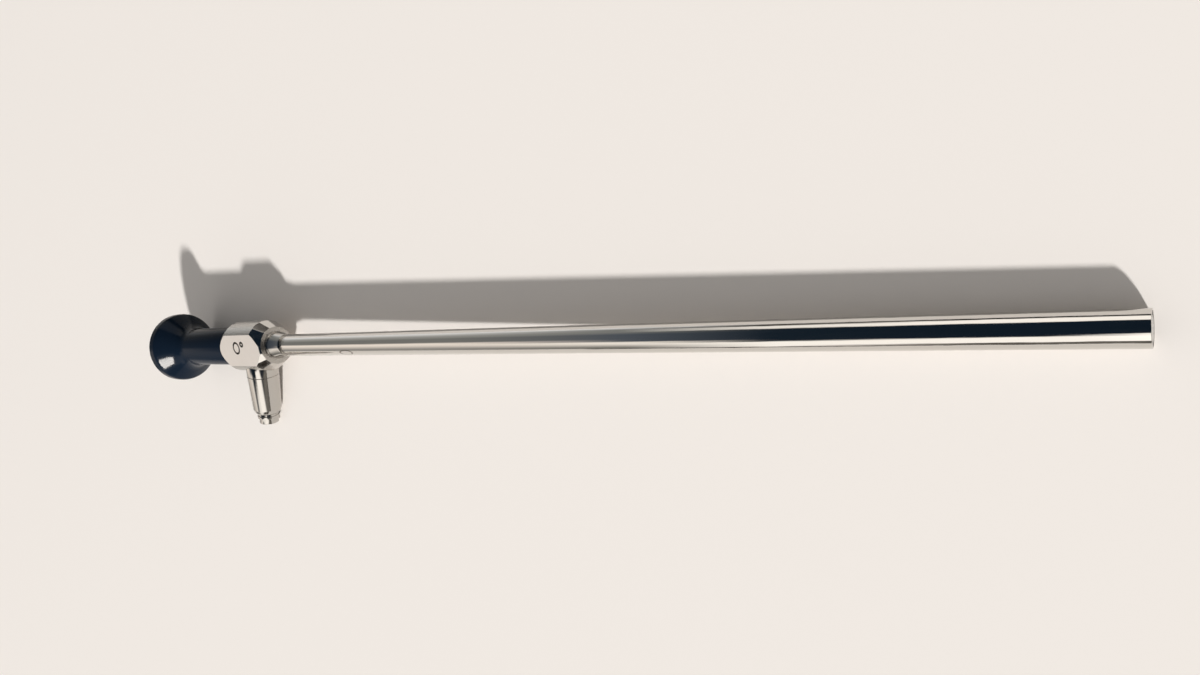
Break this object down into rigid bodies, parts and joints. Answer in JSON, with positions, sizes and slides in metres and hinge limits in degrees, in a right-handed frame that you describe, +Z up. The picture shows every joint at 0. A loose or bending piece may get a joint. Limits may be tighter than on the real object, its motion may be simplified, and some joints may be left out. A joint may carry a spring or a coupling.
{
  "type": "rigid endoscope",
  "caption": "Rigid endoscope: long round steel shaft, faceted steel housing with two flats and a side light post, black funnel eyepiece; it lies on its side.",
  "frame": {"origin": "centre of the footprint of the scope as it lies, on the table", "axes": "+X towards the tip of the shaft, +Y away from the light post, +Z up from the table"},
  "size_m": [0.4172, 0.0534, 0.0329],
  "materials": {
    "polished_steel": "polished stainless steel",
    "satin_steel": "polished stainless steel with satin blasted flats",
    "black_polymer": "turned black polymer, glossy",
    "inner_steel": "satin stainless steel",
    "fibre_glass": "ground and polished end of packed glass fibres",
    "sapphire": "polished, coated",
    "lens_glass": "polished",
    "seal_rubber": "moulded",
    "blackened_aluminium": "black anodised",
    "blackened_brass": "chemically blackened"
  },
  "bodies": {
    "root": {"adapter_sleeve": "polished_steel", "adapter_tip": "polished_steel", "distal_window": "sapphire", "eyepiece_cup": "black_polymer", "eyepiece_seal": "seal_rubber", "eyepiece_window": "sapphire", "ferrule": "polished_steel", "fibre_tube": "inner_steel", "field_stop": "blackened_brass", "housing": "satin_steel", "light_fibres": "fibre_glass", "light_post": "polished_steel", "objective_front_lens": "lens_glass", "objective_rear_lens": "lens_glass", "objective_spacer": "blackened_brass", "ocular_barrel": "blackened_aluminium", "ocular_front_lens": "lens_glass", "ocular_rear_lens": "lens_glass", "ocular_spacer": "blackened_brass", "optic_tube": "inner_steel", "post_seal": "seal_rubber", "rod_lens_1": "lens_glass", "rod_lens_2": "lens_glass", "rod_lens_3": "lens_glass", "rod_lens_4": "lens_glass", "rod_lens_5": "lens_glass", "rod_lens_6": "lens_glass", "rod_spacer_1": "blackened_brass", "rod_spacer_2": "blackened_brass", "rod_spacer_3": "blackened_brass", "rod_spacer_4": "blackened_brass", "rod_spacer_5": "blackened_brass", "rod_spacer_6": "blackened_brass", "shaft_tube": "polished_steel", "window_ring": "inner_steel"}
  },
  "joints": []
}
